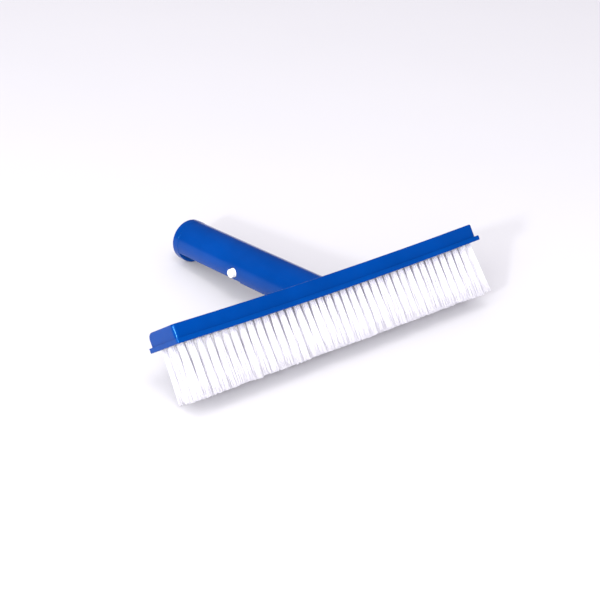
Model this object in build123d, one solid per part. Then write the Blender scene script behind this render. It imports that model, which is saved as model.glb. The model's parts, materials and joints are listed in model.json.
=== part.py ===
from build123d import *
import os
from math import atan2, cos, degrees, radians, sin

# Pool wall brush, ten inches wide, lying at rest on a flat surface.
# Millimetres. The parts are drawn in the head's own frame and turned to the rest pose at the end.
# Head frame: X along the head, Y from its front to its rear, Z from the bristles to its back,
# with z = 0 on the face that the bristles leave, at the middle of the head.

# Driving dimensions
HEAD_LENGTH = 254.0
PLATE_WIDTH = 35.3
PLATE_THICKNESS = 3.2
LIP = 2.1                    # how far the plate stands out beyond the back moulding along the sides
END_LIP = 1.3                # the same at the ends
BODY_HEIGHT = 9.0            # of the back moulding above the plate
WALL = 2.2
BOW_RADIUS = 5000.0          # the ends of the head curl away from the bristles
REAR_EDGE_ROUND = 4.5
FRONT_CORNER_ROUND = 2.5
EDGE_ROUND = 1.1
PLATE_CORNER_ROUND = 1.4
PLATE_EDGE_ROUND = 0.5
FIT_GAP = 0.2                # between the tuft block and the walls around it

ROWS = 5
ROW_SPACING = 5.0
LONG_ROW_TUFTS = 39
TUFT_PITCH = 6.35
BRISTLE_LENGTH = 35.0        # free length at the middle; the tips are trimmed to one flat plane
TUFT_FOLD_RADIUS = 1.85      # at the bottom of the hole
TUFT_TIP_RADIUS = 2.85
HOLE_RADIUS = 2.1
HOLE_DEPTH = 7.5
BLOCK_HEIGHT = 5.5           # of the tuft block above the plate's flange
TUFT_END_GAP = 0.2           # between a tuft's fold and the bottom of its hole
STAPLE_LENGTH = 4.6
STAPLE_THICKNESS = 0.4
STAPLE_HEIGHT = 2.0

SPIGOT_RADIUS = 14.6
SPIGOT_ANGLE = 30.5          # between the handle and the plate
SPIGOT_LENGTH = 133.6        # along the axis from the rear of the back moulding
SPIGOT_AXIS_HEIGHT = 3.6     # of the axis where it crosses the rear of the back moulding
SPIGOT_RUN_IN = 20.0         # buried in the head before the joint is trimmed
END_RING_RADIUS = 14.8       # the collar that steadies the pole at the free end
END_RING_LENGTH = 6.0
END_RING_ROUND = 0.6
SHALLOW_EDGE = 5.2           # below the axis, from the end ring to the button
DEEP_EDGE = 6.2              # below the axis, from the button to the head
EDGE_STEP = 6.0              # from the button to the step between the two edges
HEEL_GAP = 0.3               # between the handle's lower edge and the plate's lip
RIB_THICKNESS = 2.0

BUTTON_RADIUS = 3.05         # where it stands out of the handle
BUTTON_BASE_RADIUS = 3.25    # within the handle's wall
BUTTON_HOLE_RADIUS = 3.6
BUTTON_FROM_END = 69.5
BUTTON_PROUD = 3.0
BUTTON_ROUND = 0.9
CLIP_THICKNESS = 1.8
CLIP_WIDTH = 8.0
CLIP_SIDE = 11.5             # from the axis to a leg's outer face
LEG_LENGTH = 42.0            # from the bend to the button
LEG_TAIL = 5.0               # past the button
CLIP_GAP = 0.15              # between the bend, the legs and the rib

# Worked out from those
BODY_LENGTH = HEAD_LENGTH - 2 * END_LIP
BODY_WIDTH = PLATE_WIDTH - 2 * LIP
HEAD_HEIGHT = PLATE_THICKNESS + BODY_HEIGHT
REAR_FACE = BODY_WIDTH / 2
BUTTON_PLACE = SPIGOT_LENGTH - BUTTON_FROM_END
HINGE_PLACE = BUTTON_PLACE - LEG_LENGTH
HINGE_SIDE = CLIP_SIDE - CLIP_THICKNESS / 2
RIB_TOP = HINGE_PLACE - CLIP_SIDE - 2 * CLIP_GAP
LAST_ROW = ROW_SPACING * (ROWS - 1) / 2

# Spigot frame: z along the handle towards its free end, y away from its open side.
SPIGOT_DIRECTION = (0.0, cos(radians(SPIGOT_ANGLE)), sin(radians(SPIGOT_ANGLE)))
SPIGOT = Plane(
    origin=(0, REAR_FACE, SPIGOT_AXIS_HEIGHT), x_dir=(-1, 0, 0), z_dir=SPIGOT_DIRECTION
)


def bow_rise(x):
    """How much higher the bowed head lies at x than at its middle."""
    return x * x / (2 * BOW_RADIUS)


def bowed_slab(length, width, low, high):
    """A slab along X whose lower and upper faces follow the bow."""
    half = length / 2
    rise = bow_rise(half)
    lower = ThreePointArc((-half, low + rise), (0, low), (half, low + rise))
    upper = ThreePointArc((half, high + rise), (0, high), (-half, high + rise))
    outline = Curve() + [lower, Line(lower @ 1, upper @ 0), upper, Line(upper @ 1, lower @ 0)]
    return extrude(make_face(Plane.XZ * outline), amount=width / 2, both=True)


def long_edges(slab):
    """The four bowed edges of a slab, lowest first."""
    return slab.edges().filter_by(GeomType.CIRCLE).sort_by(Axis.Z)


def body_outside():
    """The back moulding's outer shape, filled."""
    slab = bowed_slab(BODY_LENGTH, BODY_WIDTH, PLATE_THICKNESS, HEAD_HEIGHT)
    upper_rear = long_edges(slab)[-2:].sort_by(Axis.Y)[-1]
    slab = fillet(upper_rear, REAR_EDGE_ROUND)
    front_corners = slab.faces().sort_by(Axis.Y)[0].edges().filter_by(GeomType.LINE)
    slab = fillet(front_corners, FRONT_CORNER_ROUND)
    top = slab.faces().filter_by(GeomType.CYLINDER).sort_by(Axis.Z)[-1]
    rim = top.edges().sort_by(Axis.Y)[:-1]
    ends = slab.faces().sort_by(Axis.X)
    for end in (ends[0], ends[-1]):
        rim += end.edges().sort_by(Axis.Y)[-2:]
    slab = fillet(rim, EDGE_ROUND)
    return slab


def spigot_cylinder(radius, start, end):
    """A cylinder on the handle's axis between two places along it, in the spigot frame."""
    length = end - start
    return Pos(0, 0, start + length / 2) * Cylinder(radius, length)


def below(height, start, end):
    """The space on the open side of the handle, under a height, between two places along it."""
    size = 3 * SPIGOT_RADIUS
    return Pos(0, -height - size / 2, (start + end) / 2) * Box(size, size, end - start)


def button_axis_cylinder(radius, start, end):
    """A cylinder across the handle at the buttons' place, in the spigot frame."""
    length = end - start
    return Pos(start + length / 2, 0, BUTTON_PLACE) * (Rot(0, 90, 0) * Cylinder(radius, length))


def spigot_channel():
    """The handle: a tube open on one side, whole at its free end, with a rib behind the clip."""
    ring_start = SPIGOT_LENGTH - END_RING_LENGTH
    ring = spigot_cylinder(END_RING_RADIUS, ring_start, SPIGOT_LENGTH)
    rim = ring.edges().filter_by(GeomType.CIRCLE).sort_by(Axis.Z)[-1]
    tube = spigot_cylinder(SPIGOT_RADIUS, -SPIGOT_RUN_IN, ring_start) + fillet(rim, END_RING_ROUND)
    tube -= spigot_cylinder(SPIGOT_RADIUS - WALL, -SPIGOT_RUN_IN, SPIGOT_LENGTH - WALL)
    tube += spigot_cylinder(SPIGOT_RADIUS - WALL / 2, RIB_TOP - RIB_THICKNESS, RIB_TOP)
    step = BUTTON_PLACE - EDGE_STEP
    tube -= below(DEEP_EDGE, -SPIGOT_RUN_IN, step)
    tube -= below(SHALLOW_EDGE, step, ring_start)
    tube -= button_axis_cylinder(BUTTON_HOLE_RADIUS, -2 * SPIGOT_RADIUS, 2 * SPIGOT_RADIUS)
    return SPIGOT.location * tube


def back_moulding():
    """The head's hollow back with the handle in one piece."""
    outside = body_outside()
    cavity = bowed_slab(
        BODY_LENGTH - 2 * WALL, BODY_WIDTH - 2 * WALL, PLATE_THICKNESS - 1, HEAD_HEIGHT - WALL
    )
    heel = Pos(0, 0, PLATE_THICKNESS + HEEL_GAP - HEAD_LENGTH / 2) * Box(
        HEAD_LENGTH, HEAD_LENGTH, HEAD_LENGTH
    )
    handle = spigot_channel() - outside - heel
    return outside - cavity + handle


def tuft_places(row):
    """The places along X of one row's tufts. Every second row is a tuft shorter and staggered."""
    count = LONG_ROW_TUFTS - row % 2
    return [TUFT_PITCH * (i - (count - 1) / 2) for i in range(count)]


def row_offset(row):
    return ROW_SPACING * row - LAST_ROW


def bristle_plate():
    """The flange that shows all round, and on it the block that holds the tufts."""
    flange = bowed_slab(HEAD_LENGTH, PLATE_WIDTH, 0, PLATE_THICKNESS)
    flange = fillet(flange.edges().filter_by(Axis.Z), PLATE_CORNER_ROUND)
    lower_rim = flange.faces().sort_by(Axis.Z)[0].outer_wire().edges()
    flange = fillet(lower_rim, PLATE_EDGE_ROUND)
    inset = 2 * (WALL + FIT_GAP)
    block = bowed_slab(
        BODY_LENGTH - inset, BODY_WIDTH - inset, PLATE_THICKNESS - 1, PLATE_THICKNESS + BLOCK_HEIGHT
    )
    holes = [
        Pos(x, row_offset(row), bow_rise(x) + (HOLE_DEPTH - 1) / 2) * Cylinder(HOLE_RADIUS, HOLE_DEPTH + 1)
        for row in range(ROWS)
        for x in tuft_places(row)
    ]
    return (flange + block) - holes


def tuft(x, y):
    """One bundle of bristles, spreading from its fold in the hole to its trimmed tips."""
    fold = bow_rise(x) + HOLE_DEPTH - TUFT_END_GAP
    length = fold + BRISTLE_LENGTH
    return Pos(x, y, fold - length / 2) * Cone(TUFT_TIP_RADIUS, TUFT_FOLD_RADIUS, length)


def staple(x, y):
    """The flat wire anchor pressed over a tuft's fold, biting into the sides of its hole."""
    middle = bow_rise(x) + HOLE_DEPTH - TUFT_END_GAP - STAPLE_HEIGHT
    return Pos(x, y, middle) * Box(STAPLE_LENGTH, STAPLE_THICKNESS, STAPLE_HEIGHT)


def in_rows(make, row):
    """One piece at each tuft of a row."""
    return Compound([make(x, row_offset(row)).solid() for x in tuft_places(row)])


def clip_bridge():
    """The bend of the spring clip, lying against the rib inside the handle."""
    ring = Cylinder(CLIP_SIDE, CLIP_WIDTH) - Cylinder(CLIP_SIDE - CLIP_THICKNESS, CLIP_WIDTH)
    ring = Rot(90, 0, 0) * ring
    half = ring & Pos(0, 0, -CLIP_SIDE) * Box(3 * CLIP_SIDE, 2 * CLIP_WIDTH, 2 * CLIP_SIDE)
    return SPIGOT.location * (Pos(0, 0, HINGE_PLACE - CLIP_GAP) * half)


def clip_leg(side):
    """One leg of the clip with its button; side is 1 on the -X side and -1 on the +X side."""
    length = LEG_LENGTH + LEG_TAIL
    strap = Box(CLIP_THICKNESS, CLIP_WIDTH, length)
    tail_corners = strap.edges().filter_by(Axis.X).sort_by(Axis.Z)[-2:]
    strap = fillet(tail_corners, CLIP_WIDTH * 0.45)
    strap = Pos(HINGE_SIDE, 0, HINGE_PLACE + length / 2) * strap
    button = button_axis_cylinder(BUTTON_RADIUS, HINGE_SIDE, SPIGOT_RADIUS + BUTTON_PROUD)
    crown = button.edges().filter_by(GeomType.CIRCLE).sort_by(Axis.X)[-1]
    button = fillet(crown, BUTTON_ROUND)
    base = button_axis_cylinder(BUTTON_BASE_RADIUS, HINGE_SIDE, SPIGOT_RADIUS)
    leg = strap + base + button
    if side < 0:
        leg = mirror(leg, about=Plane.YZ)
    return SPIGOT.location * leg


def rest_tilt():
    """The turn about X that brings the last row's tips and the handle's end onto one level."""
    direction = Vector(*SPIGOT_DIRECTION)
    away = Vector(0, direction.Z, -direction.Y)
    end = Vector(*SPIGOT.origin) + direction * (SPIGOT_LENGTH - END_RING_ROUND)
    end += away * END_RING_RADIUS
    tips = Vector(0, LAST_ROW + TUFT_TIP_RADIUS, -BRISTLE_LENGTH)
    span = end - tips
    return degrees(atan2(span.Z, span.Y))


def all_parts():
    parts = {
        "back_moulding": back_moulding(),
        "bristle_plate": bristle_plate(),
        "clip_bridge": clip_bridge(),
        "clip_leg_left": clip_leg(1),
        "clip_leg_right": clip_leg(-1),
    }
    for row in range(ROWS):
        parts[f"tufts_row_{row + 1}"] = in_rows(tuft, row)
        parts[f"staples_row_{row + 1}"] = in_rows(staple, row)
    return parts


TILT = rest_tilt()
turned = {name: shape.rotate(Axis.X, -TILT) for name, shape in all_parts().items()}
box = Compound([solid for shape in turned.values() for solid in shape.solids()]).bounding_box()
# The origin is at the middle of the whole object's box, on the surface that it rests on.
SHIFT = Vector(-box.center().X, -box.center().Y, -box.min.Z)

os.makedirs("parts", exist_ok=True)
for name, shape in turned.items():
    export_step(shape.translate(SHIFT), f"parts/{name}.step")
print("rest tilt", round(TILT, 3), "shift", SHIFT, "size", box.size)
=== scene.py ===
import bpy
import json
import math
import numpy as np
from mathutils import Matrix, Vector


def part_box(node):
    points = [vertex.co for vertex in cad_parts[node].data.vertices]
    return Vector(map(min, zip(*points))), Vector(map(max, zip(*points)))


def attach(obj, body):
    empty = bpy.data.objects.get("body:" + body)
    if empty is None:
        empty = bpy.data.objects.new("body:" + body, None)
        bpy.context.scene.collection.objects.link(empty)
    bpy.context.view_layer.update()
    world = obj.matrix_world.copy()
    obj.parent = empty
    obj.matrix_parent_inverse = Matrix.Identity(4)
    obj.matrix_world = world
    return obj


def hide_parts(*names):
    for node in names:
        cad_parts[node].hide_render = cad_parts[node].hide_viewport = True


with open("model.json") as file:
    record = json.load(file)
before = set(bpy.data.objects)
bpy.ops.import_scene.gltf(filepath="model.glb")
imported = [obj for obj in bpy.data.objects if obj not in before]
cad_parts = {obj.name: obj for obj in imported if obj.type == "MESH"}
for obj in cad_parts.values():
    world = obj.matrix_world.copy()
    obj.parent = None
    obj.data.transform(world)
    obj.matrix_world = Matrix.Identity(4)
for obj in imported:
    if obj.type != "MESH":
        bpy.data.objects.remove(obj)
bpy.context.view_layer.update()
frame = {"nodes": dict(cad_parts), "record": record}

# A pool wall brush at rest on a pale floor. Metres and radians unless a name says otherwise.
HANDLE_ANGLE = math.radians(30.5)    # between the handle and the bristle plate
ROWS = 5
TUFT_PITCH = 0.00635                 # from tuft to tuft along a row
FILAMENTS = 52                       # in each tuft
ROOT_SHARE = 0.172                   # of a tuft's length that is inside its hole
FILAMENT_RADIUS = 0.00019
FILAMENT_SIDES = 5
FILAMENT_STEPS = 5
TUFT_LEAN = 0.0004                   # how far a whole tuft's tips may drift along the row
TIP_SPREAD = 1.15                    # a tuft's tips along the row, by its solid cone's width there
INNER_SPREAD = 1.25                  # the same across the rows, where a row has one on each side
END_SPLAY = (0.0007, 0.0024)         # how far the last tufts lean out, at the left and right end
TUFT_UNEVEN = 0.0011                 # how much shorter than the trim plane a whole tuft may be
TRIM_RAGGED = 0.0018                 # the same again for one bristle in its tuft
FLOOR_SIZE = 12.0
WORLD_STRENGTH = 1.0
WORLD_IN_GLOSS = 0.08
BRISTLE_GLOW = 0.085                 # painted glow: how strongly the filaments emit light, standing in for light scattered deep among them
BLUE_SHEEN = (0.12, 0.5, 1.0)        # tint of what the blue plastic mirrors
ACROSS_HEAD = (0.15, 1, 1)           # stretch of the moulding's flow streaks
ALONG_HANDLE = (1, 0.15, 1)
GOLDEN_ANGLE = math.pi * (3 - math.sqrt(5))

# The camera, from the middle of the object's box on the floor
CAMERA_PLACE = Vector((-0.61316, -0.72468, 0.52078))
CAMERA_YAW = math.radians(41.600)    # from +Y towards +X
CAMERA_PITCH = math.radians(28.407)  # below the horizon
CAMERA_ROLL = math.radians(3.863)
CAMERA_LENS_MM = 95.565
SENSOR_MM = 36.0


# ---------------------------------------------------------------- node helpers

def new_material(name):
    """A material with its shader, ready for more nodes."""
    material = bpy.data.materials.new(name)
    material.use_nodes = True
    return material, material.node_tree.nodes, material.node_tree.links


def noise(nodes, links, scale, detail=4.0, stretch=(1, 1, 1)):
    """A noise texture in the object's own coordinates, in cycles per metre."""
    where = nodes.new("ShaderNodeTexCoord")
    mapping = nodes.new("ShaderNodeMapping")
    mapping.inputs["Scale"].default_value = stretch
    texture = nodes.new("ShaderNodeTexNoise")
    texture.inputs["Scale"].default_value = scale
    texture.inputs["Detail"].default_value = detail
    links.new(where.outputs["Object"], mapping.inputs["Vector"])
    links.new(mapping.outputs["Vector"], texture.inputs["Vector"])
    return texture.outputs["Fac"]


def spread(nodes, links, value, low, high, out_low, out_high):
    """The value's stretch from low to high, mapped onto another."""
    node = nodes.new("ShaderNodeMapRange")
    node.inputs["From Min"].default_value = low
    node.inputs["From Max"].default_value = high
    node.inputs["To Min"].default_value = out_low
    node.inputs["To Max"].default_value = out_high
    links.new(value, node.inputs["Value"])
    return node.outputs["Result"]


def blend_colours(nodes, links, share, first, second):
    """Mixes two colours, each a tuple or another node's output."""
    mix = nodes.new("ShaderNodeMix")
    mix.data_type = "RGBA"
    links.new(share, mix.inputs["Factor"])
    for socket, colour in ((mix.inputs[6], first), (mix.inputs[7], second)):
        if isinstance(colour, tuple):
            socket.default_value = (*colour, 1)
        else:
            links.new(colour, socket)
    return mix.outputs[2]


def soft_edges(nodes, links, radius):
    """The normal with the edges rounded off, and a mask of where the edges are."""
    bevel = nodes.new("ShaderNodeBevel")
    bevel.inputs["Radius"].default_value = radius
    bevel.samples = 6
    geometry = nodes.new("ShaderNodeNewGeometry")
    turn = nodes.new("ShaderNodeVectorMath")
    turn.operation = "DOT_PRODUCT"
    links.new(bevel.outputs["Normal"], turn.inputs[0])
    links.new(geometry.outputs["Normal"], turn.inputs[1])
    return bevel.outputs["Normal"], spread(nodes, links, turn.outputs["Value"], 0.995, 0.88, 0, 1)


def bump(nodes, links, height, distance, normal=None):
    node = nodes.new("ShaderNodeBump")
    node.inputs["Strength"].default_value = 1.0
    node.inputs["Distance"].default_value = distance
    links.new(height, node.inputs["Height"])
    if normal is not None:
        links.new(normal, node.inputs["Normal"])
    return node.outputs["Normal"]


# ------------------------------------------------------------------- materials

def moulded_plastic(name, deep, light, edge_highlight, rough, sheen, streak):
    """Injection-moulded plastic: cloudy colour, fine grain, flow streaks and a painted highlight of paler
    colour along the edges.
    """
    material, nodes, links = new_material(name)
    shader = nodes["Principled BSDF"]
    clouds = noise(nodes, links, 38, 3.0)
    cloudy = blend_colours(nodes, links, spread(nodes, links, clouds, 0.35, 0.65, 0, 1), deep, light)
    rounded, edges = soft_edges(nodes, links, 0.0005)
    # Painted highlight: a paler colour mixed in along the edges, broken up by noise.
    highlight_noise = noise(nodes, links, 900, 5.0)
    highlight_patches = spread(nodes, links, highlight_noise, 0.45, 0.65, 0, 0.3)
    share = nodes.new("ShaderNodeMath")
    share.operation = "MULTIPLY"
    links.new(edges, share.inputs[0])
    links.new(highlight_patches, share.inputs[1])
    links.new(
        blend_colours(nodes, links, share.outputs["Value"], cloudy, edge_highlight), shader.inputs["Base Color"]
    )
    streaks = noise(nodes, links, 260, 4.0, streak)
    links.new(
        spread(nodes, links, streaks, 0.3, 0.7, rough - 0.05, rough + 0.07), shader.inputs["Roughness"]
    )
    grain = noise(nodes, links, 1500, 3.0)
    waves = noise(nodes, links, 60, 2.0, streak)
    links.new(
        bump(nodes, links, grain, 0.000006, bump(nodes, links, waves, 0.00003, rounded)),
        shader.inputs["Normal"],
    )
    shader.inputs["IOR"].default_value = 1.49
    shader.inputs["Specular IOR Level"].default_value = 0.3
    shader.inputs["Specular Tint"].default_value = (*sheen, 1)
    return material


def bristle_nylon():
    """White nylon filaments, a little see-through, with small differences between them and a faint painted
    glow.
    """
    material, nodes, links = new_material("bristle_nylon")
    shader = nodes["Principled BSDF"]
    tone = noise(nodes, links, 420, 2.0, (1, 0.2, 0.2))
    links.new(
        blend_colours(
            nodes, links, spread(nodes, links, tone, 0.3, 0.7, 0, 1), (0.85, 0.84, 0.89), (0.93, 0.92, 0.955)
        ),
        shader.inputs["Base Color"],
    )
    gloss = noise(nodes, links, 2500, 2.0)
    links.new(spread(nodes, links, gloss, 0.3, 0.7, 0.3, 0.5), shader.inputs["Roughness"])
    shader.inputs["IOR"].default_value = 1.53
    # Painted glow: the filaments emit a little light of their own.
    shader.inputs["Emission Color"].default_value = (0.95, 0.93, 1.0, 1)
    shader.inputs["Emission Strength"].default_value = BRISTLE_GLOW
    through = nodes.new("ShaderNodeBsdfTranslucent")
    through.inputs["Color"].default_value = (0.98, 0.975, 1.0, 1)
    mix = nodes.new("ShaderNodeMixShader")
    mix.inputs["Fac"].default_value = 0.45
    links.new(shader.outputs["BSDF"], mix.inputs[1])
    links.new(through.outputs["BSDF"], mix.inputs[2])
    links.new(mix.outputs["Shader"], nodes["Material Output"].inputs["Surface"])
    return material


def anchor_wire():
    """Drawn brass wire with fine lines along it."""
    material, nodes, links = new_material("anchor_wire")
    shader = nodes["Principled BSDF"]
    lines = noise(nodes, links, 3000, 3.0, (0.1, 1, 1))
    links.new(
        blend_colours(nodes, links, lines, (0.62, 0.45, 0.2), (0.8, 0.66, 0.38)),
        shader.inputs["Base Color"],
    )
    links.new(spread(nodes, links, lines, 0.3, 0.7, 0.22, 0.4), shader.inputs["Roughness"])
    shader.inputs["Metallic"].default_value = 1.0
    return material


def pale_floor():
    """A matt white sweep with a faint lavender cast."""
    material, nodes, links = new_material("pale_floor")
    shader = nodes["Principled BSDF"]
    mottle = noise(nodes, links, 6, 2.0)
    links.new(
        blend_colours(nodes, links, mottle, (0.595, 0.592, 0.61), (0.61, 0.607, 0.625)),
        shader.inputs["Base Color"],
    )
    shader.inputs["Roughness"].default_value = 0.75
    shader.inputs["Specular IOR Level"].default_value = 0.2
    return material


# -------------------------------------------------------------------- geometry

def handle_direction():
    """The handle's direction towards its free end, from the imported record."""
    mount = next(m for m in frame["record"]["mounts"] if m["name"] == "pole_end")
    return Vector(mount["axis"])


def head_axes():
    """Along the head, rearward in the plate's plane, and the way the bristles point."""
    along = Vector((1, 0, 0))
    rear = Matrix.Rotation(-HANDLE_ANGLE, 3, along) @ handle_direction()
    return np.array(along), np.array(rear), -np.array(along.cross(rear))


def tuft_ends(node, down):
    """The centre and radius of each tuft's fold and tips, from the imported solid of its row."""
    mesh = frame["nodes"][node].data
    points = np.empty(len(mesh.vertices) * 3)
    mesh.vertices.foreach_get("co", points)
    points = np.unique(points.reshape(-1, 3).round(7), axis=0)
    half_span = np.abs(points[:, 0]).max()
    count = math.ceil(2 * half_span / TUFT_PITCH)
    ends = []
    for i in range(count):
        x = TUFT_PITCH * (i - (count - 1) / 2)
        mine = points[np.abs(points[:, 0] - x) < TUFT_PITCH / 2]
        depth = mine @ down
        rings = (mine[depth < depth.min() + 0.0005], mine[depth > depth.max() - 0.0005])
        centres = [(ring.min(0) + ring.max(0)) / 2 for ring in rings]
        radii = [(ring[:, 0].max() - ring[:, 0].min()) / 2 for ring in rings]
        ends.append(centres + radii)
    return ends


def filament_paths(ends, inner, outward, axes, rng):
    """The centre line of each filament in one tuft; outward is -1 to 1 along the row."""
    along, rear, down = axes
    fold, tips, fold_radius, tip_radius = ends
    root_radius = fold_radius + (tip_radius - fold_radius) * ROOT_SHARE
    lean = rng.uniform(-TUFT_LEAN, TUFT_LEAN) + END_SPLAY[outward > 0] * outward ** 7
    spread_rear = tip_radius * (INNER_SPREAD if inner else 1)
    reach = spread_rear - FILAMENT_RADIUS
    length = np.linalg.norm(tips - fold) - rng.uniform(0, TUFT_UNEVEN)
    paths = []
    for k in range(FILAMENTS):
        share = math.sqrt((k + 0.5) / FILAMENTS)
        angle = GOLDEN_ANGLE * k + rng.uniform(-0.35, 0.35)
        x, y = math.cos(angle) * share, math.sin(angle) * share
        start = np.array([x, y]) * (root_radius - FILAMENT_RADIUS)
        finish = np.array([x * tip_radius * TIP_SPREAD + lean, y * spread_rear]) + rng.normal(0, 0.0003, 2)
        finish[1] = min(max(finish[1], -reach), reach)
        bend = rng.normal(0, 0.0002, 2)
        cut = length - rng.uniform(0, TRIM_RAGGED)
        steps = []
        for s in np.linspace(ROOT_SHARE / 2, 1, FILAMENT_STEPS):
            free = max(0.0, (s - ROOT_SHARE) / (1 - ROOT_SHARE))
            side = start + (finish - start) * free ** 1.1 + bend * math.sin(math.pi * free)
            steps.append(fold + down * cut * s + along * side[0] + rear * side[1])
        paths.append(np.array(steps))
    return paths


def filament_faces(first):
    """The faces of one filament whose points start at an index: its sides, then its two ends."""
    last = first + (FILAMENT_STEPS - 1) * FILAMENT_SIDES
    faces = []
    for low in range(first, last, FILAMENT_SIDES):
        high = low + FILAMENT_SIDES
        for side in range(FILAMENT_SIDES):
            near = (side + 1) % FILAMENT_SIDES
            faces.append((low + side, high + side, high + near, low + near))
    faces.append(tuple(range(first, first + FILAMENT_SIDES)))
    faces.append(tuple(reversed(range(last, last + FILAMENT_SIDES))))
    return faces


def tuft_row(row, material):
    """All filaments of one row of tufts, as one mesh in place of the row's solid cones."""
    node = f"tufts_row_{row}"
    axes = head_axes()
    along, rear, down = axes
    rng = np.random.default_rng(row)
    half_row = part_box(node)[1][0]
    inner = 1 < row < ROWS
    turn = np.linspace(0, 2 * math.pi, FILAMENT_SIDES, endpoint=False)
    section = FILAMENT_RADIUS * (np.outer(np.cos(turn), along) + np.outer(np.sin(turn), rear))
    points, faces = [], []
    for ends in tuft_ends(node, down):
        for path in filament_paths(ends, inner, ends[1][0] / half_row, axes, rng):
            faces += filament_faces(len(points) * FILAMENT_SIDES)
            points += [place + section for place in path]
    mesh = bpy.data.meshes.new(f"bristles_row_{row}")
    mesh.from_pydata(np.concatenate(points).tolist(), [], faces)
    mesh.update()
    mesh.polygons.foreach_set("use_smooth", [len(face) == 4 for face in faces])
    mesh.materials.append(material)
    piece = bpy.data.objects.new(f"bristles_row_{row}", mesh)
    bpy.context.collection.objects.link(piece)
    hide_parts(node)
    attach(piece, "brush")


def dress(node, material):
    """Gives a carried-over CAD node its finished material."""
    piece = frame["nodes"][node]
    piece.data.materials.clear()
    piece.data.materials.append(material)


def floor():
    mesh = bpy.data.meshes.new("floor")
    half = FLOOR_SIZE / 2
    corners = [(-half, -half, 0), (half, -half, 0), (half, half, 0), (-half, half, 0)]
    mesh.from_pydata(corners, [], [(0, 1, 2, 3)])
    mesh.materials.append(pale_floor())
    piece = bpy.data.objects.new("floor", mesh)
    bpy.context.collection.objects.link(piece)


# ----------------------------------------------------------- light and camera

def area_light(name, place, target, size, power, colour):
    data = bpy.data.lights.new(name, "AREA")
    data.shape = "DISK"
    data.size = size
    data.energy = power
    data.color = colour
    light = bpy.data.objects.new(name, data)
    light.location = place
    light.rotation_euler = (Vector(target) - Vector(place)).to_track_quat("-Z", "Y").to_euler()
    bpy.context.collection.objects.link(light)


def studio_light():
    """Even light all round, which gloss hardly mirrors, a broad front key and two weaker lamps."""
    world = bpy.data.worlds.new("studio")
    world.use_nodes = True
    nodes, links = world.node_tree.nodes, world.node_tree.links
    background = nodes["Background"]
    background.inputs["Color"].default_value = (0.965, 0.93, 1.0, 1)
    rays = nodes.new("ShaderNodeLightPath")
    strength = spread(nodes, links, rays.outputs["Is Glossy Ray"], 0, 1, WORLD_STRENGTH, WORLD_IN_GLOSS)
    links.new(strength, background.inputs["Strength"])
    bpy.context.scene.world = world
    area_light("key", (-2.3, -1.5, 1.7), (0, 0, 0.02), 2.8, 92, (1.0, 1.0, 0.985))
    area_light("top", (-0.6, -0.8, 2.6), (0, 0, 0), 1.2, 22, (1.0, 0.99, 0.98))
    area_light("edge", (-1.6, -0.9, 0.75), (-0.1, -0.05, 0.04), 0.14, 22, (1.0, 1.0, 1.0))


def camera():
    forward = Vector((
        math.sin(CAMERA_YAW) * math.cos(CAMERA_PITCH),
        math.cos(CAMERA_YAW) * math.cos(CAMERA_PITCH),
        -math.sin(CAMERA_PITCH),
    ))
    right = Vector((math.cos(CAMERA_YAW), -math.sin(CAMERA_YAW), 0))
    up = right.cross(forward)
    rolled_right = right * math.cos(CAMERA_ROLL) + up * math.sin(CAMERA_ROLL)
    rolled_up = up * math.cos(CAMERA_ROLL) - right * math.sin(CAMERA_ROLL)
    data = bpy.data.cameras.new("camera")
    data.sensor_width = SENSOR_MM
    data.lens = CAMERA_LENS_MM
    data.clip_end = 50
    view = bpy.data.objects.new("camera", data)
    view.matrix_world = Matrix.Translation(CAMERA_PLACE) @ Matrix(
        (rolled_right, rolled_up, -forward)
    ).transposed().to_4x4()
    bpy.context.collection.objects.link(view)
    bpy.context.scene.camera = view


camera()
studio_light()
floor()
bpy.context.scene.view_settings.view_transform = "Standard"

# The third colour of each plastic is its painted edge highlight.
dress("back_moulding", moulded_plastic(
    "blue_moulding", (0.0, 0.036, 0.208), (0.0, 0.041, 0.234), (0.01, 0.1, 0.38), 0.17, BLUE_SHEEN,
    ALONG_HANDLE))
dress("bristle_plate", moulded_plastic(
    "blue_plate", (0.0, 0.037, 0.21), (0.0, 0.043, 0.236), (0.01, 0.1, 0.39), 0.2, BLUE_SHEEN,
    ACROSS_HEAD))
white = moulded_plastic(
    "white_clip", (0.8, 0.81, 0.82), (0.87, 0.87, 0.88), (0.95, 0.95, 0.95), 0.3, (1.0, 1.0, 1.0),
    ALONG_HANDLE)
for node in ("clip_bridge", "clip_leg_left", "clip_leg_right"):
    dress(node, white)
wire = anchor_wire()
nylon = bristle_nylon()
for row in range(1, ROWS + 1):
    dress(f"staples_row_{row}", wire)
    tuft_row(row, nylon)
